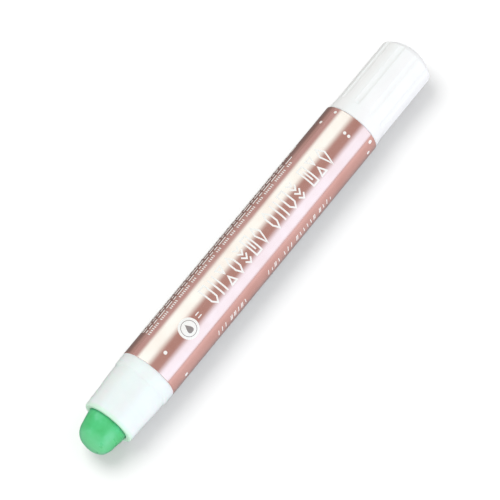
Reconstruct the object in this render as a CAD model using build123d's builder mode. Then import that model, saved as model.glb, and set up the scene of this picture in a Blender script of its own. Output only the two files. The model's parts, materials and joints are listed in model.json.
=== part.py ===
from build123d import *
import os

# Twist-up glue pen, in millimetres.
#
# The pen axis is X. The glue tip points to -X and the twist knob to +X, and the origin is on the
# axis at the middle of the barrel sleeve. Turning the knob clockwise, seen from the knob end,
# turns a left-hand lead screw. The nut on it can't turn, because its lugs run in two keyways, so
# it carries the glue stick out of the nozzle.

# ---------------------------------------------------------------- driving dimensions

# Barrel sleeve and the guide tube inside it
barrel_diameter = 15.0
barrel_length = 78.5
sleeve_wall = 0.35
sleeve_edge_radius = 0.12
guide_tube_diameter = 14.24
guide_bore = 11.0
socket_bore = 12.6
keyway_width = 2.2

# Nozzle
nozzle_length = 15.45
collar_diameter = 14.9
collar_length = 2.9
collar_edge_radius = 0.12
collar_ease = 0.8
cap_land_diameter = 14.4
cap_land_length = 2.5
waist_diameter = 13.84
waist_from_mouth = 5.4
mouth_diameter = 13.55
mouth_bore = 10.7
lip_radius = 0.5
bore_edge_radius = 0.2
nozzle_spigot_length = 6.0

# Travel of the carriage from where the glue stands out as drawn
retract_travel = 9.0
travel_margin = 0.5

# Glue stick
glue_diameter = 10.5
glue_stand_out = 7.5
nose_diameter = 6.6
nose_depth = 1.1
dome_diameter = 9.6
dome_depth = 4.05
glue_screw_bore = 5.2

# Glue carrier
carrier_rim = -9.0
cup_depth = 7.0
cup_floor = 2.0
cup_diameter = 10.4
cup_bore = 9.24
grip_rib_radius = 0.3
tail_length = 10.0
tail_diameter = 9.0
tail_bore = 7.4

# Drive nut
nut_length = 7.5
nut_spigot_length = 3.5
lug_width = 2.0
lug_length = 3.6
lug_tip_diameter = 12.3

# Left-hand thread: the ridges narrow by one millimetre for each millimetre of height
thread_lead = 4.0
thread_start = -34.0
screw_thread_length = 56.0
screw_root_diameter = 3.2
screw_crest_diameter = 4.4
screw_crest_width = 1.1
thread_clearance = 0.2
nut_thread_length = 4.4
nut_thread_turns_in = 10.5

# Lead screw, from the thrust flange to the keyed tail
thrust_flange_diameter = 8.0
thrust_flange_thickness = 1.2
journal_diameter = 5.0
screw_tail_end = 51.4
tail_flat_width = 3.8
screw_point_length = 1.5
tip_chamfer = 0.5

# Bushing, drag ring and retaining clip
bushing_front = 25.0
bushing_spigot_diameter = 10.0
bushing_spigot_length = 4.0
running_clearance = 0.08
end_float = 0.05
ring_section = 0.9
ring_centre_x = 32.0
ring_groove_diameter = 3.2
clip_thickness = 0.7
clip_diameter = 7.2
clip_groove_diameter = 3.8
clip_opening = 2.6

# Twist knob and the hub inside it
knob_gap = 0.1
knob_diameter = 14.0
knob_flare_diameter = 14.6
knob_flare_length = 4.5
knob_end = 63.9
knob_dome_height = 2.9
knob_dome_edge_radius = 0.8
knob_front_edge_radius = 0.15
knob_wall = 1.9
knob_cavity_diameter = 9.2
bearing_relief = 0.2
spline_count = 6
spline_height = 0.4
spline_width = 1.5
hub_front = 44.8
hub_length = 7.0
flute_count = 10
flute_depth = 0.3
flute_cutter_radius = 1.5
flute_setback = 2.6
flute_phase = 6.5

# Snap beads and the clearance of pieces that are fixed to each other
bead_radius = 0.3
bead_height = 0.15
bead_setback = 1.5
fixed_clearance = 0.02
slot_clearance = 0.05

# ---------------------------------------------------------------- places worked out from them

barrel_front = -barrel_length / 2
barrel_rear = barrel_length / 2
socket_radius = socket_bore / 2
spigot_radius = socket_radius - fixed_clearance

nozzle_mouth = barrel_front - nozzle_length
collar_front = barrel_front - collar_length
cap_land_rear = collar_front - collar_ease
cap_land_front = cap_land_rear - cap_land_length
waist_x = nozzle_mouth + waist_from_mouth
nozzle_spigot_rear = barrel_front + nozzle_spigot_length
nozzle_socket_rear = nozzle_spigot_rear + slot_clearance

glue_apex = nozzle_mouth - glue_stand_out
cup_floor_front = carrier_rim + cup_depth
cup_floor_rear = cup_floor_front + cup_floor
tail_rear = cup_floor_rear + tail_length
grip_rib_x = carrier_rim + cup_depth / 2

screw_tip = thread_start - screw_point_length
screw_bore_front = screw_tip - retract_travel - travel_margin

nut_front = tail_rear - nut_spigot_length
nut_rear = nut_front + nut_length
nut_bore_radius = screw_crest_diameter / 2 + thread_clearance

flange_rear = bushing_front - end_float
flange_front = flange_rear - thrust_flange_thickness
bushing_rear = barrel_rear + bushing_spigot_length
clip_front = bushing_rear + end_float

knob_front = barrel_rear + knob_gap
knob_flare_rear = knob_front + knob_flare_length
knob_dome_front = knob_end - knob_dome_height
knob_cavity_rear = knob_end - knob_wall
knob_bearing_rear = bushing_rear + bearing_relief
flute_front = knob_front + flute_setback + flute_cutter_radius
flute_axis_radius = knob_diameter / 2 + flute_cutter_radius - flute_depth


# ---------------------------------------------------------------- shared features


def tube_section(x_from, x_to, inner_radius, outer_radius, mode=Mode.ADD):
    """Half section of a plain tube or disc, to be revolved about the pen axis."""
    with Locations((x_from, inner_radius)):
        Rectangle(
            x_to - x_from,
            outer_radius - inner_radius,
            align=(Align.MIN, Align.MIN),
            mode=mode,
        )


def bead_section(x, surface_radius, mode=Mode.ADD):
    """Half section of a snap bead that stands out of a round surface, or of its groove."""
    radius = bead_radius if mode == Mode.ADD else bead_radius + slot_clearance
    with Locations((x, surface_radius - bead_radius + bead_height)):
        Circle(radius, mode=mode)


def screw_ridge_width(radius):
    """Axial thickness of the screw's thread ridge at a radius."""
    return screw_crest_width + screw_crest_diameter / 2 - radius


def nut_ridge_width(radius):
    """Axial thickness of the nut's thread ridge, which fills the screw's groove but for clearance."""
    return thread_lead - screw_ridge_width(radius) - 2 * thread_clearance


def thread_ridge(start_x, length, base_radius, crest_radius, ridge_width):
    """Sweeps a left-hand trapezoidal ridge about the pen axis."""
    with BuildLine() as path:
        Helix(
            pitch=thread_lead,
            height=length,
            radius=crest_radius,
            center=(start_x, 0, 0),
            direction=(1, 0, 0),
            lefthand=True,
        )
    axis = Vector(1, 0, 0)
    outwards = (path.line @ 0) - Vector(start_x, 0, 0)
    radial_plane = Plane((start_x, 0, 0), x_dir=axis, z_dir=axis.cross(outwards))
    with BuildSketch(radial_plane) as ridge:
        with BuildLine():
            Polyline(
                (-ridge_width(base_radius) / 2, base_radius),
                (ridge_width(base_radius) / 2, base_radius),
                (ridge_width(crest_radius) / 2, crest_radius),
                (-ridge_width(crest_radius) / 2, crest_radius),
                close=True,
            )
        make_face()
    sweep(ridge.sketch, path=path.line, is_frenet=True)


def rims_at(piece, x):
    """Round edges of a piece at one place along the pen axis, smallest first."""
    rims = piece.edges().filter_by(GeomType.CIRCLE)
    return rims.filter_by_position(Axis.X, x - 0.01, x + 0.01).sort_by(SortBy.RADIUS)


def double_flat_section(diameter, across_flats, mode=Mode.ADD):
    """Circle with two flats, as on the screw's keyed tail and in the hub."""
    with BuildSketch(mode=Mode.PRIVATE) as section:
        Circle(diameter / 2)
        Rectangle(diameter, across_flats, mode=Mode.INTERSECT)
    add(section.sketch, mode=mode)


# ---------------------------------------------------------------- barrel

with BuildPart() as barrel_sleeve:
    with BuildSketch():
        tube_section(
            barrel_front,
            barrel_rear,
            barrel_diameter / 2 - sleeve_wall,
            barrel_diameter / 2,
        )
    revolve(axis=Axis.X)
    fillet(barrel_sleeve.edges().filter_by(GeomType.CIRCLE), sleeve_edge_radius)
barrel_sleeve.part.label = "barrel_sleeve"

# The guide tube's two ends are opened up as sockets for the nozzle and the bushing.
with BuildPart() as guide_tube:
    with BuildSketch():
        tube_section(
            barrel_front, barrel_rear, guide_bore / 2, guide_tube_diameter / 2
        )
        tube_section(
            barrel_front,
            nozzle_socket_rear,
            guide_bore / 2,
            socket_radius,
            mode=Mode.SUBTRACT,
        )
        tube_section(
            bushing_front,
            barrel_rear,
            guide_bore / 2,
            socket_radius,
            mode=Mode.SUBTRACT,
        )
        bead_section(
            nozzle_spigot_rear - bead_setback, spigot_radius, mode=Mode.SUBTRACT
        )
        bead_section(bushing_front + bead_setback, spigot_radius, mode=Mode.SUBTRACT)
    revolve(axis=Axis.X)
    with BuildSketch(Plane.YZ.offset(nozzle_socket_rear)):
        Rectangle(keyway_width, 2 * socket_radius)
    extrude(amount=bushing_front - nozzle_socket_rear, mode=Mode.SUBTRACT)
guide_tube.part.label = "guide_tube"

# A collar at the barrel, eased down to the land that a cap grips, then a taper to the mouth.
with BuildPart() as nozzle:
    with BuildSketch():
        with BuildLine():
            Polyline(
                (nozzle_mouth, mouth_bore / 2),
                (nozzle_mouth, mouth_diameter / 2),
                (waist_x, waist_diameter / 2),
                (cap_land_front, cap_land_diameter / 2),
                (cap_land_rear, cap_land_diameter / 2),
            )
            ease_foot = TangentArc(
                (cap_land_rear, cap_land_diameter / 2),
                (
                    (cap_land_rear + collar_front) / 2,
                    (cap_land_diameter + collar_diameter) / 4,
                ),
                tangent=(1, 0),
            )
            ease_top = TangentArc(
                ease_foot @ 1, (collar_front, collar_diameter / 2), tangent=ease_foot % 1
            )
            Polyline(
                ease_top @ 1,
                (barrel_front, collar_diameter / 2),
                (barrel_front, spigot_radius),
                (nozzle_spigot_rear, spigot_radius),
                (nozzle_spigot_rear, mouth_bore / 2),
                (nozzle_mouth, mouth_bore / 2),
            )
        make_face()
        bead_section(nozzle_spigot_rear - bead_setback, spigot_radius)
    revolve(axis=Axis.X)
    fillet(rims_at(nozzle, nozzle_mouth)[-1], lip_radius)
    fillet(rims_at(nozzle, nozzle_mouth)[0], bore_edge_radius)
    fillet(rims_at(nozzle, barrel_front)[-1], collar_edge_radius)
nozzle.part.label = "nozzle"

with BuildPart() as screw_bushing:
    with BuildSketch():
        tube_section(
            bushing_front,
            barrel_rear,
            journal_diameter / 2 + running_clearance,
            spigot_radius,
        )
        tube_section(
            barrel_rear,
            bushing_rear,
            journal_diameter / 2 + running_clearance,
            bushing_spigot_diameter / 2,
        )
        bead_section(bushing_front + bead_setback, spigot_radius)
    revolve(axis=Axis.X)
    chamfer(rims_at(screw_bushing, bushing_rear)[-1], tip_chamfer)
screw_bushing.part.label = "screw_bushing"

# ---------------------------------------------------------------- carriage

# The glue is cast into the cup, and its blind bore lets the lead screw pass up inside it.
with BuildPart() as glue_stick:
    with BuildSketch():
        with BuildLine():
            nose = TangentArc(
                (glue_apex, 0), (glue_apex + nose_depth, nose_diameter / 2), tangent=(0, 1)
            )
            dome = TangentArc(
                nose @ 1, (glue_apex + dome_depth, dome_diameter / 2), tangent=nose % 1
            )
            Polyline(
                dome @ 1,
                (nozzle_mouth, glue_diameter / 2),
                (carrier_rim, glue_diameter / 2),
                (carrier_rim, cup_bore / 2 - fixed_clearance),
                (cup_floor_front, cup_bore / 2 - fixed_clearance),
                (cup_floor_front, glue_screw_bore / 2),
                (screw_bore_front, glue_screw_bore / 2),
                (screw_bore_front, 0),
                nose @ 0,
            )
        make_face()
        with Locations((grip_rib_x, cup_bore / 2)):
            Circle(grip_rib_radius + fixed_clearance, mode=Mode.SUBTRACT)
    revolve(axis=Axis.X)
glue_stick.part.label = "glue_stick"

with BuildPart() as glue_carrier:
    with BuildSketch():
        tube_section(carrier_rim, cup_floor_rear, cup_bore / 2, cup_diameter / 2)
        tube_section(
            cup_floor_front, cup_floor_rear, glue_screw_bore / 2, cup_diameter / 2
        )
        tube_section(cup_floor_rear, tail_rear, tail_bore / 2, tail_diameter / 2)
        with Locations((grip_rib_x, cup_bore / 2)):
            Circle(grip_rib_radius)
    revolve(axis=Axis.X)
glue_carrier.part.label = "glue_carrier"

with BuildPart() as drive_nut:
    with BuildSketch():
        tube_section(
            nut_front, tail_rear, nut_bore_radius, tail_bore / 2 - fixed_clearance
        )
        tube_section(tail_rear, nut_rear, nut_bore_radius, cup_diameter / 2)
    revolve(axis=Axis.X)
    with BuildSketch(Plane.YZ.offset((tail_rear + nut_rear - lug_length) / 2)):
        Rectangle(lug_width, lug_tip_diameter)
        Circle(tail_diameter / 2, mode=Mode.SUBTRACT)
    extrude(amount=lug_length)
    thread_ridge(
        thread_start + nut_thread_turns_in * thread_lead,
        nut_thread_length,
        nut_bore_radius + thread_clearance,
        screw_root_diameter / 2 + thread_clearance,
        nut_ridge_width,
    )
drive_nut.part.label = "drive_nut"

# ---------------------------------------------------------------- knob

with BuildPart() as lead_screw:
    with BuildSketch():
        tube_section(screw_tip, flange_rear, 0, screw_root_diameter / 2)
        tube_section(flange_front, flange_rear, 0, thrust_flange_diameter / 2)
        tube_section(flange_rear, screw_tail_end, 0, journal_diameter / 2)
        tube_section(
            ring_centre_x - ring_section / 2 - slot_clearance,
            ring_centre_x + ring_section / 2 + slot_clearance,
            ring_groove_diameter / 2,
            journal_diameter / 2,
            mode=Mode.SUBTRACT,
        )
        tube_section(
            clip_front - slot_clearance,
            clip_front + clip_thickness + slot_clearance,
            clip_groove_diameter / 2,
            journal_diameter / 2,
            mode=Mode.SUBTRACT,
        )
    revolve(axis=Axis.X)
    chamfer(rims_at(lead_screw, screw_tip), tip_chamfer)
    with BuildSketch(Plane.YZ.offset(hub_front)):
        Circle(journal_diameter)
        double_flat_section(journal_diameter, tail_flat_width, mode=Mode.SUBTRACT)
    extrude(amount=screw_tail_end - hub_front, mode=Mode.SUBTRACT)
    thread_ridge(
        thread_start,
        screw_thread_length,
        screw_root_diameter / 2 - thread_clearance,
        screw_crest_diameter / 2,
        screw_ridge_width,
    )
lead_screw.part.label = "lead_screw"

with BuildPart() as drag_ring:
    with BuildSketch():
        with Locations(
            (
                ring_centre_x,
                (ring_groove_diameter + ring_section) / 2 + fixed_clearance,
            )
        ):
            Circle(ring_section / 2)
    revolve(axis=Axis.X)
drag_ring.part.label = "drag_ring"

with BuildPart() as retaining_clip:
    with BuildSketch(Plane.YZ.offset(clip_front)):
        Circle(clip_diameter / 2)
        Circle(clip_groove_diameter / 2 + fixed_clearance, mode=Mode.SUBTRACT)
        Rectangle(
            clip_diameter,
            clip_opening,
            align=(Align.MIN, Align.CENTER),
            mode=Mode.SUBTRACT,
        )
    extrude(amount=clip_thickness)
retaining_clip.part.label = "retaining_clip"

with BuildPart() as knob_hub:
    with BuildSketch(Plane.YZ.offset(hub_front)):
        Circle(knob_cavity_diameter / 2 - fixed_clearance)
        with PolarLocations(knob_cavity_diameter / 2, spline_count):
            Rectangle(2 * (spline_height - fixed_clearance), spline_width)
        double_flat_section(
            journal_diameter + 2 * fixed_clearance,
            tail_flat_width + 2 * fixed_clearance,
            mode=Mode.SUBTRACT,
        )
    extrude(amount=hub_length)
knob_hub.part.label = "knob_hub"

with BuildPart() as twist_knob:
    bearing_radius = bushing_spigot_diameter / 2 + running_clearance
    cavity_radius = knob_cavity_diameter / 2
    with BuildSketch():
        with BuildLine():
            flare = TangentArc(
                (knob_flare_rear, knob_diameter / 2),
                (knob_front, knob_flare_diameter / 2),
                tangent=(-1, 0),
            )
            end_dome = TangentArc(
                (knob_end, 0), (knob_dome_front, knob_diameter / 2), tangent=(0, 1)
            )
            cavity_dome = TangentArc(
                (knob_cavity_rear, 0), (knob_dome_front, cavity_radius), tangent=(0, 1)
            )
            Line(flare @ 0, end_dome @ 1)
            Line(end_dome @ 0, cavity_dome @ 0)
            Polyline(
                cavity_dome @ 1,
                (knob_bearing_rear, cavity_radius),
                (knob_bearing_rear, bearing_radius),
                (knob_front, bearing_radius),
                flare @ 1,
            )
        make_face()
    revolve(axis=Axis.X)
    fillet(rims_at(twist_knob, knob_front)[-1], knob_front_edge_radius)
    fillet(rims_at(twist_knob, knob_dome_front)[-1], knob_dome_edge_radius)
    # Grooves for the hub's splines
    with BuildSketch(Plane.YZ.offset(knob_bearing_rear)):
        with PolarLocations(cavity_radius, spline_count):
            Rectangle(
                2 * (spline_height + slot_clearance), spline_width + 2 * slot_clearance
            )
        Circle(cavity_radius - fixed_clearance, mode=Mode.SUBTRACT)
    extrude(amount=hub_front + hub_length - knob_bearing_rear, mode=Mode.SUBTRACT)
    # Flutes, round at the front and running out through the dome
    with BuildSketch(Plane.YZ.offset(flute_front)):
        with PolarLocations(flute_axis_radius, flute_count, flute_phase):
            Circle(flute_cutter_radius)
    extrude(amount=knob_end - flute_front, mode=Mode.SUBTRACT)
    with Locations(Plane.YZ.offset(flute_front)):
        with PolarLocations(flute_axis_radius, flute_count, flute_phase):
            Sphere(flute_cutter_radius, mode=Mode.SUBTRACT)
twist_knob.part.label = "twist_knob"

# ---------------------------------------------------------------- files

os.makedirs("parts", exist_ok=True)
export_step(nozzle.part, "parts/nozzle.step")
export_step(barrel_sleeve.part, "parts/barrel_sleeve.step")
export_step(guide_tube.part, "parts/guide_tube.step")
export_step(glue_stick.part, "parts/glue_stick.step")
export_step(glue_carrier.part, "parts/glue_carrier.step")
export_step(drive_nut.part, "parts/drive_nut.step")
export_step(lead_screw.part, "parts/lead_screw.step")
export_step(screw_bushing.part, "parts/screw_bushing.step")
export_step(drag_ring.part, "parts/drag_ring.step")
export_step(retaining_clip.part, "parts/retaining_clip.step")
export_step(knob_hub.part, "parts/knob_hub.step")
export_step(twist_knob.part, "parts/twist_knob.step")
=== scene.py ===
"""Looks of the twist-up glue pen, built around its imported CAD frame. Everything is in metres.

The pen lies on the floor with its axis along X, the glue tip at -X and the twist knob at +X. A
place on the barrel is given by x along the pen and by roll, the angle round the pen from straight
up towards -Y.
"""

import json
import math
import random
from collections import namedtuple

import bmesh
import bpy
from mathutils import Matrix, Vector, noise


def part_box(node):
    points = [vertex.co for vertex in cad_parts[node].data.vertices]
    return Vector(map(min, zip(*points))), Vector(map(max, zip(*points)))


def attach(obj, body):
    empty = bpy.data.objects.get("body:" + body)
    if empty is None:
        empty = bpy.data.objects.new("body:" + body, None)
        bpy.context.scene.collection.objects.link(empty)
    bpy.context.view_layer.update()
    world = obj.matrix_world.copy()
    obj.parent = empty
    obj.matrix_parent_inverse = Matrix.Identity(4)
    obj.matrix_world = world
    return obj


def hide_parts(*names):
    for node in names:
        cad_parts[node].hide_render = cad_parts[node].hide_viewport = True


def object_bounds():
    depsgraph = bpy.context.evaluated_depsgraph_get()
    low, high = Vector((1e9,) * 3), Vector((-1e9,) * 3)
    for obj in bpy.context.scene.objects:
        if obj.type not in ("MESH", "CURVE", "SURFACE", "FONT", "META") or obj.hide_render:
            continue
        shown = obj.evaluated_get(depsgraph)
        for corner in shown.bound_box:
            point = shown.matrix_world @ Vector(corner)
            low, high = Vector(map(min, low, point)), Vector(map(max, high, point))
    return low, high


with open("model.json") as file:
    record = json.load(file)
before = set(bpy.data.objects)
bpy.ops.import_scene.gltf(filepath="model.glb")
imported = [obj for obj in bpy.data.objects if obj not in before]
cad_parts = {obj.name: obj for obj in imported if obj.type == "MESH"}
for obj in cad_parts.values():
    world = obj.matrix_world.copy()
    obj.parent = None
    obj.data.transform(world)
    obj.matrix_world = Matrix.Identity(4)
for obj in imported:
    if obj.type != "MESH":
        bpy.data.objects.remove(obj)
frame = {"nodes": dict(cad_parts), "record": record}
cad_low, cad_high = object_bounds()

MM = 0.001
nodes = frame["nodes"]

# ------------------------------------------------------------------ places from the frame

barrel_low, barrel_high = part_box("barrel_sleeve")
barrel_radius = barrel_high.z
nozzle_low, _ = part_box("nozzle")
mouth_x = nozzle_low.x
glue_low, glue_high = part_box("glue_stick")
carrier_low, carrier_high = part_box("glue_carrier")
screw_low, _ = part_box("lead_screw")
floor_z = barrel_low.z

# The camera looks steeply down, from the glue tip's side.
camera_azimuth = math.radians(-52.3)
camera_elevation = math.radians(69.6)
camera_distance = 1100 * MM
towards_camera = Vector(
    (
        math.sin(camera_azimuth) * math.cos(camera_elevation),
        -math.cos(camera_azimuth) * math.cos(camera_elevation),
        math.sin(camera_elevation),
    )
)
facing_roll = math.degrees(math.atan2(-towards_camera.y, towards_camera.z))


# ------------------------------------------------------------------ node helpers


class Shader:
    """A small helper that adds shader nodes to a material or world and links them."""

    def __init__(self, owner):
        owner.use_nodes = True
        self.tree = owner.node_tree
        self.tree.nodes.clear()

    @classmethod
    def of(cls, owner):
        """A helper for a node tree that is already built."""
        made = cls.__new__(cls)
        made.tree = owner.node_tree
        return made

    def node(self, kind, **settings):
        """Adds a node. Settings that name an input set or link it; others set a property."""
        made = self.tree.nodes.new("ShaderNode" + kind)
        for name, value in settings.items():
            key = name.replace("_", " ")
            if key in made.inputs:
                self.feed(made.inputs[key], value)
            else:
                setattr(made, name, value)
        return made

    def feed(self, socket, value):
        if isinstance(value, bpy.types.NodeSocket):
            self.tree.links.new(value, socket)
        else:
            socket.default_value = value

    def math(self, operation, first, second=0.0):
        made = self.node("Math", operation=operation)
        self.feed(made.inputs[0], first)
        self.feed(made.inputs[1], second)
        return made.outputs[0]

    def ramp(self, factor, *stops):
        """Colour ramp through (place, colour) stops."""
        made = self.node("ValToRGB")
        self.feed(made.inputs[0], factor)
        elements = made.color_ramp.elements
        while len(elements) < len(stops):
            elements.new(0.5)
        for element, (place, colour) in zip(elements, stops):
            element.position = place
            element.color = (*colour, 1)
        return made.outputs[0]

    def noise(self, scale, detail=3.0, stretch=(1, 1, 1), roughness=0.5):
        """Noise over the object's own coordinates, in cells per metre."""
        place = self.node("TexCoord").outputs["Object"]
        mapping = self.node("Mapping")
        self.feed(mapping.inputs["Vector"], place)
        mapping.inputs["Scale"].default_value = stretch
        made = self.node(
            "TexNoise",
            Vector=mapping.outputs[0],
            Scale=scale,
            Detail=detail,
            Roughness=roughness,
        )
        return made.outputs["Fac"]

    def between(self, factor, low, high):
        """A value from low to high as the factor goes from 0.3 to 0.7, as noise does."""
        made = self.node("MapRange")
        for socket, value in zip(made.inputs, (factor, 0.3, 0.7, low, high)):
            self.feed(socket, value)
        return made.outputs[0]

    def span(self, value, start, end):
        """How far a value is from start to end, as 0 to 1."""
        made = self.node("MapRange")
        for socket, setting in zip(made.inputs, (value, start, end)):
            self.feed(socket, setting)
        return made.outputs[0]

    def bump(self, height, distance):
        made = self.node("Bump", Height=height)
        made.inputs["Distance"].default_value = distance
        return made.outputs[0]

    def surface(self, shader, kind="OutputMaterial"):
        self.tree.links.new(shader, self.node(kind).inputs["Surface"])


def tint(colour, factor):
    return tuple(min(1.0, c * factor) for c in colour)


def moulded(name, colour, roughness, grain=0.004 * MM, mottle=0.03, **more):
    """Moulded plastic: faint colour mottle, uneven gloss and a fine skin texture."""
    material = bpy.data.materials.new(name)
    s = Shader(material)
    broad = s.noise(180, 2)
    fine = s.noise(2600, 4)
    base = s.ramp(broad, (0.35, tint(colour, 1 - mottle)), (0.65, colour))
    skin = s.node(
        "BsdfPrincipled",
        Base_Color=base,
        Roughness=s.between(fine, roughness - 0.05, roughness + 0.05),
        Normal=s.bump(fine, grain),
        **more,
    )
    s.surface(skin.outputs[0])
    return material


# ------------------------------------------------------------------ materials


def paint_glow_at_mouth(material):
    """Painted glow: green light from the glue that shows through the nozzle's lip, put into its colour
    as a mint tint that fades from it.
    """
    s = Shader.of(material)
    skin = s.tree.nodes["Principled BSDF"]
    plain = skin.inputs["Base Color"].links[0].from_socket
    along = s.node("SeparateXYZ", Vector=s.node("TexCoord").outputs["Object"]).outputs["X"]
    depth = s.span(along, mouth_x, mouth_x + 1.1 * MM)
    painted_glow_share = s.ramp(depth, (0.2, (1, 1, 1)), (1, (0, 0, 0)))
    mixed = s.node("MixRGB", Fac=painted_glow_share, Color1=plain)
    # The mint colour of the painted glow.
    mixed.inputs["Color2"].default_value = (0.70, 0.95, 0.76, 1)
    s.feed(skin.inputs["Base Color"], mixed.outputs[0])


def rose_metal():
    """Rose-gold mirror metal, with a faint lengthwise drawing grain and cloudy gloss.

    Light that leaves the floor meets it as a pale matt surface, so that the shadow beside it is as
    light and as neutral as the shadow beside the white plastic.
    """
    material = bpy.data.materials.new("rose_metal")
    s = Shader(material)
    drawn = s.noise(900, 4, stretch=(0.05, 1, 1))
    cloudy = s.noise(140, 3)
    speckle = s.noise(4200, 3)
    base = s.ramp(cloudy, (0.3, (0.87, 0.47, 0.40)), (0.7, (0.93, 0.53, 0.46)))
    matt_ray = s.node("LightPath").outputs["Is Diffuse Ray"]
    seen = s.node("MixRGB", Fac=matt_ray, Color1=base)
    seen.inputs["Color2"].default_value = (0.8, 0.8, 0.8, 1)
    coat = s.node(
        "BsdfPrincipled",
        Base_Color=seen.outputs[0],
        Metallic=s.math("SUBTRACT", 1.0, matt_ray),
        Roughness=s.between(drawn, 0.12, 0.2),
        Normal=s.bump(s.math("ADD", drawn, speckle), 0.002 * MM),
    )
    s.surface(coat.outputs[0])
    return material


def glue_wax():
    """Solid green glue: waxy, paler at its rubbed tip, with a painted highlight along one side, and
    painted shade at its rim and near the nozzle.
    """
    material = bpy.data.materials.new("glue")
    s = Shader(material)
    cloudy = s.noise(260, 4)
    smear = s.noise(700, 4, stretch=(1, 0.35, 0.35))
    base = s.ramp(
        cloudy,
        (0.30, (0.06, 0.55, 0.165)),
        (0.55, (0.08, 0.61, 0.22)),
        (0.75, (0.17, 0.69, 0.35)),
    )
    parts = s.node("SeparateXYZ", Vector=s.node("TexCoord").outputs["Object"])
    # Painted shade: the colour darkens where the surface turns away from the view, along the stick's
    # rim.
    facing = s.node("LayerWeight", Blend=0.5).outputs["Facing"]
    rim = s.ramp(facing, (0.5, (1, 1, 1)), (0.8, (0.8, 0.78, 0.86)))
    # The nozzle shades the glue next to its lip, wherever the glue has moved to. Glue that is shut
    # in the bore, where next to no sky is open, keeps its own colour.
    open_sky = s.node("AmbientOcclusion", Distance=1.0 * MM).outputs["AO"]
    contact = s.ramp(
        open_sky,
        (0.2, (1, 1, 1)),
        (0.35, (0.58, 0.67, 0.75)),
        (0.58, (0.58, 0.67, 0.75)),
        (0.82, (1, 1, 1)),
    )
    # Paler at the rubbed tip, as wear. Along the side towards -Y, a painted highlight in a band that
    # ends at the mouth.
    rubbed_tip = s.span(parts.outputs["X"], glue_low.x + 3.6 * MM, glue_low.x + 1.0 * MM)
    across_sheen_streak = s.span(parts.outputs["Y"], -1.8 * MM, -5.0 * MM)
    sheen_streak = s.ramp(
        across_sheen_streak, (0, (0, 0, 0)), (0.45, (1, 1, 1)), (0.6, (1, 1, 1)), (1, (0, 0, 0))
    )
    outside_mouth = s.span(parts.outputs["X"], mouth_x - 1.0 * MM, mouth_x - 2.5 * MM)
    wear_and_sheen = s.math("MAXIMUM", rubbed_tip, s.math("MULTIPLY", sheen_streak, outside_mouth))
    # The paler colour stands for wear at the tip and for a painted highlight along the side.
    paler = s.node(
        "MixRGB", Fac=s.math("MULTIPLY", wear_and_sheen, s.between(smear, 0.5, 1.0)), Color1=base
    )
    paler.inputs["Color2"].default_value = (0.17, 0.65, 0.31, 1)
    shaded = paler.outputs[0]
    for shade in (rim, contact):
        shaded = s.node(
            "MixRGB", blend_type="MULTIPLY", Fac=1.0, Color1=shaded, Color2=shade
        ).outputs[0]
    # The side that has been rubbed on paper is the smoother one.
    rubbed = s.span(parts.outputs["Y"], 0.0, -2.5 * MM)
    roughness = s.math("SUBTRACT", s.between(smear, 0.4, 0.62), s.math("MULTIPLY", rubbed, 0.2))
    wax = s.node(
        "BsdfPrincipled",
        Base_Color=shaded,
        Roughness=roughness,
        Subsurface_Weight=0.2,
        Subsurface_Radius=(0.3, 1.0, 0.4),
        Subsurface_Scale=0.8 * MM,
        Normal=s.bump(smear, 0.05 * MM),
    )
    s.surface(wax.outputs[0])
    return material


def print_ink(name, colour):
    """Screen-printed ink: slightly uneven in cover, with a soft sheen."""
    material = bpy.data.materials.new(name)
    s = Shader(material)
    cover = s.noise(5200, 3)
    base = s.ramp(cover, (0.35, tint(colour, 0.9)), (0.6, colour))
    ink = s.node(
        "BsdfPrincipled",
        Base_Color=base,
        Roughness=s.between(cover, 0.35, 0.5),
        Normal=s.bump(cover, 0.002 * MM),
    )
    s.surface(ink.outputs[0])
    return material


def spring_steel():
    """Bright steel with fine rolled grain."""
    material = bpy.data.materials.new("clip_steel")
    s = Shader(material)
    rolled = s.noise(3000, 3, stretch=(1, 0.1, 1))
    steel = s.node(
        "BsdfPrincipled",
        Base_Color=s.ramp(
            rolled, (0.3, (0.50, 0.50, 0.51)), (0.7, (0.63, 0.63, 0.64))
        ),
        Metallic=1.0,
        Roughness=s.between(rolled, 0.2, 0.4),
    )
    s.surface(steel.outputs[0])
    return material


rose = rose_metal()
glue = glue_wax()
white_ink = print_ink("white_ink", (0.96, 0.95, 0.92))
grey_ink = print_ink("grey_ink", (0.3, 0.26, 0.25))
nozzle_white = moulded(
    "nozzle_plastic",
    (0.88, 0.945, 0.93),
    roughness=0.22,
    Subsurface_Weight=0.5,
    Subsurface_Radius=(0.7, 1.0, 0.85),
    Subsurface_Scale=1.2 * MM,
)
paint_glow_at_mouth(nozzle_white)
knob_white = moulded(
    "knob_plastic",
    (0.955, 0.955, 0.955),
    roughness=0.35,
    Subsurface_Weight=0.2,
    Subsurface_Radius=(1.0, 1.0, 1.0),
    Subsurface_Scale=0.6 * MM,
)
inner_white = moulded("inner_plastic", (0.72, 0.76, 0.73), roughness=0.45)
bearing_white = moulded("bearing_plastic", (0.62, 0.63, 0.58), roughness=0.38)
screw_white = moulded("screw_plastic", (0.78, 0.78, 0.72), roughness=0.32)
seal_black = moulded("seal_rubber", (0.012, 0.012, 0.012), roughness=0.6, mottle=0.2)
steel = spring_steel()

finishes = {
    "rose_metal": rose,
    "nozzle_plastic": nozzle_white,
    "knob_plastic": knob_white,
    "glue": glue,
    "inner_plastic": inner_white,
    "bearing_plastic": bearing_white,
    "screw_plastic": screw_white,
    "seal_rubber": seal_black,
    "clip_steel": steel,
}
for part in frame["record"]["subparts"]:
    slots = nodes[part["node"]].data.materials
    slots.clear()
    slots.append(finishes[part["material_slot"]])


# ------------------------------------------------------------------ mesh helpers


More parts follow.
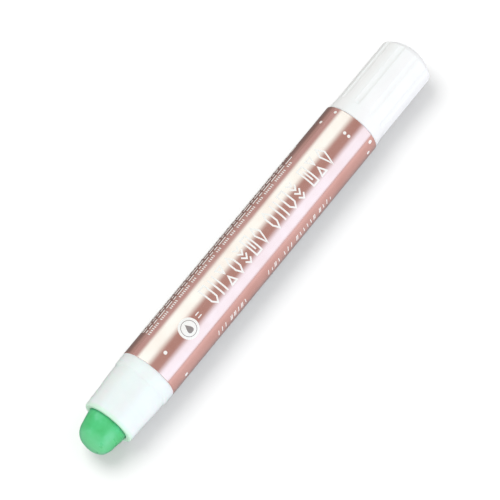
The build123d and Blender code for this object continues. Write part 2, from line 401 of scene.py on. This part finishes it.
def add_piece(name, mesh, material, body):
    """Makes an object of a finished bmesh and lets it ride on a CAD body."""
    data = bpy.data.meshes.new(name)
    bmesh.ops.recalc_face_normals(mesh, faces=mesh.faces)
    mesh.to_mesh(data)
    mesh.free()
    data.materials.append(material)
    piece = bpy.data.objects.new(name, data)
    bpy.context.scene.collection.objects.link(piece)
    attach(piece, body)
    return piece


def on_barrel(x, roll, height):
    """Point at x along the pen and roll degrees round it, at a height above the sleeve."""
    angle = math.radians(roll)
    radius = barrel_radius + height
    return Vector((x, -radius * math.sin(angle), radius * math.cos(angle)))


# ------------------------------------------------------------------ glue stick


NOSE_DEPTH = 4.05 * MM
NOSE_STEPS = 22
# A power of one would make the nose half an ellipsoid. A smaller power makes it blunter.
NOSE_POWER = 0.78
# The nose meets the taper at this share of the stick's full radius.
SHOULDER_SHARE = 0.914
TAPER_STEPS = 10
STRAIGHT_STEPS = 24
GLUE_SIDES = 96

# The root is this much smaller in radius than the cup: the cup's wall and a hair of clearance.
CUP_INSET = 0.6 * MM
SCREW_BORE_RADIUS = 2.6 * MM
# The blind bore reaches this far ahead of the screw's tip, so that the glue can be drawn back.
SCREW_BORE_LEAD = 9.5 * MM


def glue_profile():
    """Outline of the glue stick outside the nozzle as (x, radius) pairs, from apex to mouth."""
    full = glue_high.z
    shoulder = full * SHOULDER_SHARE
    outline = []
    for i in range(NOSE_STEPS + 1):
        angle = math.pi / 2 * i / NOSE_STEPS
        outline.append(
            (
                glue_low.x + NOSE_DEPTH * (1 - math.cos(angle)),
                shoulder * math.sin(angle) ** NOSE_POWER,
            )
        )
    for i in range(1, TAPER_STEPS + 1):
        share = i / TAPER_STEPS
        outline.append(
            (
                glue_low.x + NOSE_DEPTH + share * (mouth_x - glue_low.x - NOSE_DEPTH),
                shoulder + (full - shoulder) * math.sin(share * math.pi / 2),
            )
        )
    return outline


def lathe(outline, sides):
    """A closed bmesh turned about the pen's axis.

    The outline starts on the axis. Where it ends, a flat disc closes it.
    """
    mesh = bmesh.new()
    rings = []
    for x, radius in outline[1:]:
        ring = []
        for k in range(sides):
            turn = 2 * math.pi * k / sides
            ring.append(
                mesh.verts.new((x, radius * math.cos(turn), radius * math.sin(turn)))
            )
        rings.append(ring)
    first = mesh.verts.new((outline[0][0], 0, 0))
    last = mesh.verts.new((outline[-1][0], 0, 0))
    for k in range(sides):
        after = (k + 1) % sides
        mesh.faces.new((first, rings[0][k], rings[0][after]))
        mesh.faces.new((last, rings[-1][after], rings[-1][k]))
        for near, far in zip(rings, rings[1:]):
            mesh.faces.new((near[k], far[k], far[after], near[after]))
    return mesh


DENT_DEPTH = 0.11 * MM
DENTS_PER_METRE = 420
SCRATCH_DEPTH = 0.035 * MM
SCRATCHES_PER_METRE = 1300
RUBBED_AWAY = 0.06 * MM
TIP_LEAN = 0.35 * MM
# A dent also moves the surface back along the pen, by this share of its depth.
DENT_PUSH_BACK = 0.6
# The wear fades out towards the mouth, over this share of the stand-out.
FADE_SHARE = 1 / 1.6
# Below this radius a point has no direction away from the axis.
ON_AXIS = 1e-9


def wear_tip(mesh):
    """Dents, scratches and a lean towards -Y on the part of the glue that is outside the nozzle."""
    stand_out = mouth_x - glue_low.x
    for vert in mesh.verts:
        share = (mouth_x - vert.co.x) / stand_out
        if share <= 0:
            continue
        fade = min(1.0, share / FADE_SHARE)
        dent = noise.noise(vert.co * DENTS_PER_METRE) * DENT_DEPTH
        dent += noise.noise(vert.co * SCRATCHES_PER_METRE) * SCRATCH_DEPTH
        outward = Vector((0, vert.co.y, vert.co.z))
        if outward.length > ON_AXIS:
            outward.normalize()
        vert.co += outward * (dent - RUBBED_AWAY) * fade
        vert.co.x += abs(dent) * fade * DENT_PUSH_BACK
        vert.co.y -= TIP_LEAN * share**2


def build_glue_stick():
    """Lathe of the glue stick: its outline outside the nozzle, its root in the cup, and its bore."""
    root_radius = carrier_high.z - CUP_INSET
    rim_x = carrier_low.x
    outline = glue_profile()
    for i in range(1, STRAIGHT_STEPS + 1):
        outline.append((mouth_x + (rim_x - mouth_x) * i / STRAIGHT_STEPS, glue_high.z))
    outline += [
        (rim_x, root_radius),
        (glue_high.x, root_radius),
        (glue_high.x, SCREW_BORE_RADIUS),
        (screw_low.x - SCREW_BORE_LEAD, SCREW_BORE_RADIUS),
    ]
    mesh = lathe(outline, GLUE_SIDES)
    wear_tip(mesh)
    piece = add_piece("glue_wax_stick", mesh, glue, "carriage")
    for face in piece.data.polygons:
        face.use_smooth = True
    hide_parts("glue_stick")


build_glue_stick()


# ------------------------------------------------------------------ print on the barrel

# Each layer of ink stands this much above the one below it, and starts a little inside that one.
INK_HEIGHT = 0.02 * MM
INK_DEPTH = 0.01 * MM
# Shapes are divided at about this spacing, so that they follow the barrel.
STEP = 0.35 * MM
# A mitre's reach is the half width over the cosine of half the turn. The cosine is kept at least
# this large, so that no sharp corner grows into a spike.
LEAST_MITRE_COSINE = 0.35


class Print:
    """Collects flat ink shapes, in (along, round) metres about one place, and wraps them."""

    def __init__(self, x, roll, layer=0):
        self.x = x
        self.roll = roll
        self.top = INK_HEIGHT * (layer + 1)
        self.foot = INK_HEIGHT * layer - INK_DEPTH
        self.mesh = bmesh.new()

    def place(self, along, round_pen, height):
        """Round_pen grows towards -roll, so that shapes stand upright when seen from above."""
        roll = self.roll - math.degrees(round_pen / barrel_radius)
        return on_barrel(self.x + along, roll, height)

    def solid(self, flat_points, flat_faces):
        """Adds a closed slab from flat points and faces, whose outline edges become walls."""
        top = [self.mesh.verts.new(self.place(*p, self.top)) for p in flat_points]
        foot = [self.mesh.verts.new(self.place(*p, self.foot)) for p in flat_points]
        edges = set()
        for face in flat_faces:
            self.mesh.faces.new([top[i] for i in face])
            self.mesh.faces.new([foot[i] for i in reversed(face)])
            for a, b in zip(face, face[1:] + face[:1]):
                if (b, a) in edges:
                    edges.remove((b, a))
                else:
                    edges.add((a, b))
        for a, b in sorted(edges):
            self.mesh.faces.new((top[b], top[a], foot[a], foot[b]))

    def stroke(self, path, width, closed=False):
        """A line of even width through the path's points, with mitred corners."""
        corners = [Vector(p) for p in path]
        count = len(corners)
        sections = []
        for i, corner in enumerate(corners):
            before = corners[i - 1] if closed or i else None
            after = corners[(i + 1) % count] if closed or i < count - 1 else None
            ways = []
            if before is not None:
                ways.append((corner - before).normalized())
            if after is not None:
                ways.append((after - corner).normalized())
            way = sum(ways, Vector((0, 0))).normalized()
            side = Vector((-way.y, way.x))
            spread = width / 2 / max(LEAST_MITRE_COSINE, abs(way.dot(ways[0])))
            sections.append((corner + side * spread, corner - side * spread))
        pairs = list(zip(sections, sections[1:] + sections[:1]))
        if not closed:
            pairs.pop()
        points = []
        for (left, right), (next_left, next_right) in pairs:
            parts = max(1, math.ceil((next_left - left).length / STEP))
            for k in range(parts):
                points.append(left.lerp(next_left, k / parts))
                points.append(right.lerp(next_right, k / parts))
        if not closed:
            points += sections[-1]
        total = len(points) // 2
        faces = []
        for i in range(total if closed else total - 1):
            j = (i + 1) % total
            faces.append([2 * i, 2 * j, 2 * j + 1, 2 * i + 1])
        self.solid([tuple(p) for p in points], faces)

    def fan(self, outline, rings=4):
        """A filled shape that its middle can see all of, in rings so that it follows the barrel."""
        sides = len(outline)
        middle = sum((Vector(p) for p in outline), Vector((0, 0))) / sides
        points = [tuple(middle)]
        for r in range(1, rings + 1):
            points += [tuple(middle.lerp(Vector(p), r / rings)) for p in outline]
        faces = []
        for k in range(sides):
            after = (k + 1) % sides
            faces.append([0, 1 + k, 1 + after])
            for r in range(rings - 1):
                low = 1 + r * sides
                high = low + sides
                faces.append([low + k, high + k, high + after, low + after])
        self.solid(points, faces)

    def disc(self, along, round_pen, radius, sides=32):
        self.fan(circle(radius, sides, along, round_pen), max(2, round(radius / STEP)))

    def finish(self, name, material):
        add_piece(name, self.mesh, material, "barrel")


def circle(radius, sides, along=0.0, round_pen=0.0):
    """Points of a circle, counter-clockwise."""
    turns = [2 * math.pi * k / sides for k in range(sides)]
    return [
        (along + radius * math.cos(turn), round_pen + radius * math.sin(turn))
        for turn in turns
    ]


def drop(radius, length, sides=28):
    """Points of a hanging drop: a round foot, drawn up to a point.

    A higher waist power keeps it wide further up, and a higher rise power makes its point longer.
    It is lifted a little, so that it looks centred although its foot is the heavy end.
    """
    waist_power = 2.2
    rise_power = 1.35
    lift = radius * 0.1
    points = []
    for k in range(sides):
        turn = 2 * math.pi * k / sides
        rise = (1 + math.cos(turn)) / 2
        points.append(
            (
                -radius * math.sin(turn) * (1 - rise**waist_power),
                -length / 2 + lift + length * rise**rise_power,
            )
        )
    return points


# Plain marks as lines and closed loops in a cell one wide and one high. No two lines touch.


def line(*points):
    return points, False


def loop(*points):
    return points, True


MARKS = {
    "pencil": [loop((0.5, 0), (1, 0.24), (1, 1), (0, 1), (0, 0.24))],
    "rails": [line((0.12, 0), (0.12, 1)), line((0.88, 0), (0.88, 1))],
    "chevrons": [
        line((0, low + 0.2), (0.5, low), (1, low + 0.2)) for low in (0, 0.26, 0.52, 0.78)
    ],
    "hourglass": [
        loop((0, 0), (1, 0), (0.5, 0.38)),
        loop((0, 1), (0.5, 0.62), (1, 1)),
    ],
    "ruler": [loop((0, 0), (1, 0), (1, 1), (0, 1)), line((0.5, 0.22), (0.5, 0.78))],
    "kite": [loop((0.5, 0), (1, 0.62), (0.5, 1), (0, 0.62))],
    "leaf": [loop((0.5, 0), (0.94, 0.3), (0.94, 0.7), (0.5, 1), (0.06, 0.7), (0.06, 0.3))],
}

SMALL_MARKS = {
    "slant": [line((0.25, 0), (0.75, 1))],
    "double slant": [line((0, 0), (0.4, 1)), line((0.6, 0), (1, 1))],
    "half slant": [line((0.35, 0.1), (0.65, 0.65))],
    "bar": [line((0.5, 0.05), (0.5, 0.95))],
}


RowStyle = namedtuple("RowStyle", "pitch gap width height stroke")

HEADING = RowStyle(
    pitch=3.16 * MM, gap=1.53 * MM, width=1.83 * MM, height=5.3 * MM, stroke=0.42 * MM
)
SIDE_ROW = RowStyle(
    pitch=1.33 * MM, gap=0.87 * MM, width=0.7 * MM, height=1.6 * MM, stroke=0.24 * MM
)


def print_row(ink, marks, groups, style):
    """A row of marks in groups, with one pitch within a group and a gap after it."""
    along = 0.0
    for group in groups:
        for name in group:
            for points, closed in marks[name]:
                path = [
                    (along + (x - 0.5) * style.width, (y - 0.5) * style.height)
                    for x, y in points
                ]
                ink.stroke(path, style.stroke, closed)
            along += style.pitch
        along += style.gap


def print_heading():
    """Three groups of tall marks along the middle of the barrel."""
    ink = Print(x=-17.0 * MM, roll=7.4)
    groups = (
        ("pencil", "rails", "hourglass", "leaf", "chevrons", "ruler", "kite"),
        ("leaf", "rails", "pencil", "chevrons"),
        ("ruler", "hourglass", "kite"),
    )
    print_row(ink, MARKS, groups, HEADING)
    ink.finish("print_heading", white_ink)


def print_side_rows():
    """Two short rows of small marks low on the barrel's side."""
    rng = random.Random(11)
    names = sorted(SMALL_MARKS)
    for name, x, counts in (
        ("print_side_row_front", -21.6 * MM, (3, 5)),
        ("print_side_row_rear", -2.5 * MM, (4, 3, 6, 4)),
    ):
        ink = Print(x, roll=75.4)
        groups = [[rng.choice(names) for _ in range(count)] for count in counts]
        print_row(ink, SMALL_MARKS, groups, SIDE_ROW)
        ink.finish(name, white_ink)


def print_badge():
    """A white roundel with a ringed glue drop on it."""
    x = -26.5 * MM
    roll = 16.9
    badge_radius = 2.65 * MM
    ring_radius = 1.95 * MM
    ring_width = 0.14 * MM
    disc = Print(x, roll)
    disc.disc(0.0, 0.0, badge_radius, sides=72)
    disc.finish("print_badge", white_ink)
    drawing = Print(x, roll, layer=1)
    drawing.stroke(circle(ring_radius, 60), ring_width, closed=True)
    drawing.fan(drop(radius=0.95 * MM, length=2.5 * MM))
    drawing.finish("print_badge_drop", grey_ink)


FINE_STROKE = 0.26 * MM
DASH_STROKE = 0.3 * MM
DASH_GAP = 0.5 * MM
TICK_PITCH = 0.56 * MM
TICK_GAP = 0.75 * MM
TICK_HEIGHT = 0.75 * MM
ROW_PITCH = 1.3 * MM


def print_tab():
    """Two tiny dashes beside the badge."""
    ink = Print(x=-22.5 * MM, roll=14.6)
    half_length = 0.6 * MM
    for level in (-0.45 * MM, 0.45 * MM):
        ink.stroke([(-half_length, level), (half_length, level)], FINE_STROKE)
    ink.finish("print_tab", white_ink)


def print_ticks(ink, rng, length):
    """One greeked row: upright ticks in groups."""
    along = 0.0
    while along < length:
        for _ in range(rng.randint(3, 7)):
            ink.stroke([(along, -TICK_HEIGHT / 2), (along, TICK_HEIGHT / 2)], FINE_STROKE)
            along += TICK_PITCH
        along += TICK_GAP


def print_dashes(ink, rng, length, level):
    """One greeked row of fine dashes of random length."""
    along = 0.0
    while along < length:
        dash = rng.uniform(0.8, 2.6) * MM
        ink.stroke([(along, level), (along + dash, level)], DASH_STROKE)
        along += dash + DASH_GAP


def print_paragraph():
    """A bolder row and six fine ones of random length, further round the barrel than the heading."""
    rng = random.Random(5)
    ink = Print(x=-32.95 * MM, roll=-38.2)
    print_ticks(ink, rng, length=54.5 * MM)
    for row in range(1, 7):
        length = rng.uniform(50, 59) * MM
        print_dashes(ink, rng, length, level=row * ROW_PITCH)
    ink.finish("print_paragraph", white_ink)


HIDDEN_DOTS = 10
# Between the middles of two dots. It is more than the widest dot is across.
DOT_SPACING = 1.3 * MM


def print_dots():
    """Confetti dots near both ends of the barrel, as (x in mm, roll, radius in mm).

    The random ones are on the side away from the camera. They keep clear of each other, of the
    paragraph and of the strip that the pen lies on.
    """
    rng = random.Random(3)
    dots = [
        (-34.6, 12.0, 0.46),
        (-34.2, 80.0, 0.5),
        (34.3, -47.1, 0.42),
        (38.0, -32.2, 0.38),
        (37.9, 60.5, 0.5),
        (36.2, 78.6, 0.45),
        (34.8, 9.3, 0.4),
        (34.8, 18.9, 0.4),
    ]
    total = len(dots) + HIDDEN_DOTS
    while len(dots) < total:
        x = rng.choice((rng.uniform(-36, -30), rng.uniform(32, 37)))
        roll = rng.choice((rng.uniform(100, 160), rng.uniform(200, 255)))
        spot = on_barrel(x * MM, roll, 0.0)
        gaps = [(spot - on_barrel(other[0] * MM, other[1], 0.0)).length for other in dots]
        if min(gaps) > DOT_SPACING:
            dots.append((x, roll, rng.uniform(0.3, 0.5)))
    ink = Print(x=0, roll=0)
    for x, roll, radius in dots:
        ink.disc(x * MM, -math.radians(roll) * barrel_radius, radius * MM)
    ink.finish("print_dots", white_ink)


print_heading()
print_side_rows()
print_badge()
print_tab()
print_paragraph()
print_dots()


# ------------------------------------------------------------------ floor, light and camera


# Across the pen, the floor's mirrored tones are spread over this width, with the pen in the middle.
MIRRORED_WIDTH = 125 * MM


def build_floor():
    """A plain pale floor. The metal mirrors it in tones of its own, lighter on the camera's side."""
    mesh = bmesh.new()
    bmesh.ops.create_grid(mesh, x_segments=4, y_segments=4, size=3.0)
    for vert in mesh.verts:
        vert.co.z = floor_z
    data = bpy.data.meshes.new("floor")
    mesh.to_mesh(data)
    mesh.free()
    floor = bpy.data.objects.new("floor", data)
    bpy.context.scene.collection.objects.link(floor)
    material = bpy.data.materials.new("floor")
    s = Shader(material)
    path = s.node("LightPath")
    parts = s.node("SeparateXYZ", Vector=s.node("TexCoord").outputs["Object"])
    across = s.math("ADD", s.math("MULTIPLY", parts.outputs["Y"], 1 / MIRRORED_WIDTH), 0.5)
    mirrored = s.ramp(
        across,
        (0, (0.35, 0.36, 0.38)),
        (0.44, (0.25, 0.245, 0.25)),
        (0.6, (0.1, 0.1, 0.1)),
        (0.7, (0.1, 0.1, 0.1)),
        (1, (0.19, 0.19, 0.19)),
    )
    tone = s.node("MixRGB", Fac=path.outputs["Is Glossy Ray"], Color2=mirrored)
    tone.inputs["Color1"].default_value = (0.45, 0.45, 0.45, 1)
    matt = s.node("BsdfDiffuse", Color=tone.outputs[0])
    s.surface(matt.outputs[0])
    data.materials.append(material)
    return floor


def ramp_place(roll):
    """Place on the surround's ramps of a roll angle, counted from the side the camera is on."""
    return roll / 360 + 0.5


def build_world():
    """Studio surround: an even glow on everything matt, and long softboxes for mirror reflections."""
    world = bpy.data.worlds.new("studio")
    bpy.context.scene.world = world
    world.cycles.sampling_method = "NONE"
    s = Shader(world)
    direction = s.node("TexCoord").outputs["Generated"]
    parts = s.node("SeparateXYZ", Vector=direction)
    sideways = s.math("MULTIPLY", parts.outputs["Y"], -1.0)
    roll = s.math("ARCTAN2", sideways, parts.outputs["Z"])
    turn = s.math("DIVIDE", s.math("SUBTRACT", roll, math.radians(facing_roll)), 2 * math.pi)
    place = s.math("ADD", turn, 0.5)
    dim = (0.2, 0.185, 0.18)
    side = (0.22, 0.22, 0.23)
    warm = (0.45, 0.77, 0.82)
    cool = (0.44, 0.7, 0.87)
    softboxes = s.ramp(
        place,
        (ramp_place(-81), side),
        (ramp_place(-68), warm),
        (ramp_place(-32), warm),
        (ramp_place(-12), dim),
        (ramp_place(18), dim),
        (ramp_place(38), cool),
        (ramp_place(72), cool),
        (ramp_place(84), side),
    )
    glow = s.ramp(
        place,
        (ramp_place(-90), (0.5, 0.5, 0.48)),
        (ramp_place(-20), (0.92, 0.92, 0.9)),
        (ramp_place(25), (0.97, 0.965, 0.98)),
        (ramp_place(60), (0.8, 0.83, 0.92)),
    )
    mirrored = s.node("Background", Color=softboxes, Strength=2.5)
    even = s.node("Background", Color=glow, Strength=1.2)
    room = s.node("Background", Color=(1, 1, 1, 1), Strength=1.0)
    path = s.node("LightPath")
    lit = s.node("MixShader")
    s.feed(lit.inputs[0], path.outputs["Is Glossy Ray"])
    s.feed(lit.inputs[1], even.outputs[0])
    s.feed(lit.inputs[2], mirrored.outputs[0])
    seen = s.node("MixShader")
    s.feed(seen.inputs[0], path.outputs["Is Camera Ray"])
    s.feed(seen.inputs[1], lit.outputs[0])
    s.feed(seen.inputs[2], room.outputs[0])
    s.surface(seen.outputs[0], "OutputWorld")


LIGHT_DISTANCE = 0.9


def add_light(name, kind, direction, receivers, **settings):
    """Adds a light that shines from a direction on to the receivers only."""
    data = bpy.data.lights.new(name, kind)
    for setting, value in settings.items():
        setattr(data, setting, value)
    light = bpy.data.objects.new(name, data)
    bpy.context.scene.collection.objects.link(light)
    light.location = direction.normalized() * LIGHT_DISTANCE
    light.rotation_euler = direction.to_track_quat("Z", "Y").to_euler()
    light.light_linking.receiver_collection = receivers


def light_floor(floor):
    """The pen's soft shadow: a broad light from behind it, and a fill from the camera's side."""
    receivers = bpy.data.collections.new("floor_receiver")
    receivers.objects.link(floor)
    add_light(
        "floor_key",
        "AREA",
        Vector((-0.04, 0.44, 1.0)),
        receivers,
        shape="DISK",
        size=0.58,
        energy=8.0,
    )
    add_light("floor_fill", "SUN", towards_camera, receivers, energy=1.9, angle=0.08)


def build_camera():
    """A long lens that frames the pen from almost overhead."""
    data = bpy.data.cameras.new("camera")
    data.sensor_width = 36.0
    data.lens = 334.7
    data.clip_start = 0.01
    data.clip_end = 20.0
    camera = bpy.data.objects.new("camera", data)
    bpy.context.scene.collection.objects.link(camera)
    bpy.context.scene.camera = camera
    # The pen sits a little off the middle of the picture.
    off_centre = Vector((-1.04, 0.12, 0.03)) * MM
    aim = (cad_low + cad_high) / 2 + off_centre
    camera.location = aim + towards_camera * camera_distance
    camera.rotation_euler = towards_camera.to_track_quat("Z", "Y").to_euler()


light_floor(build_floor())
build_world()
build_camera()
bpy.context.scene.view_settings.view_transform = "Standard"
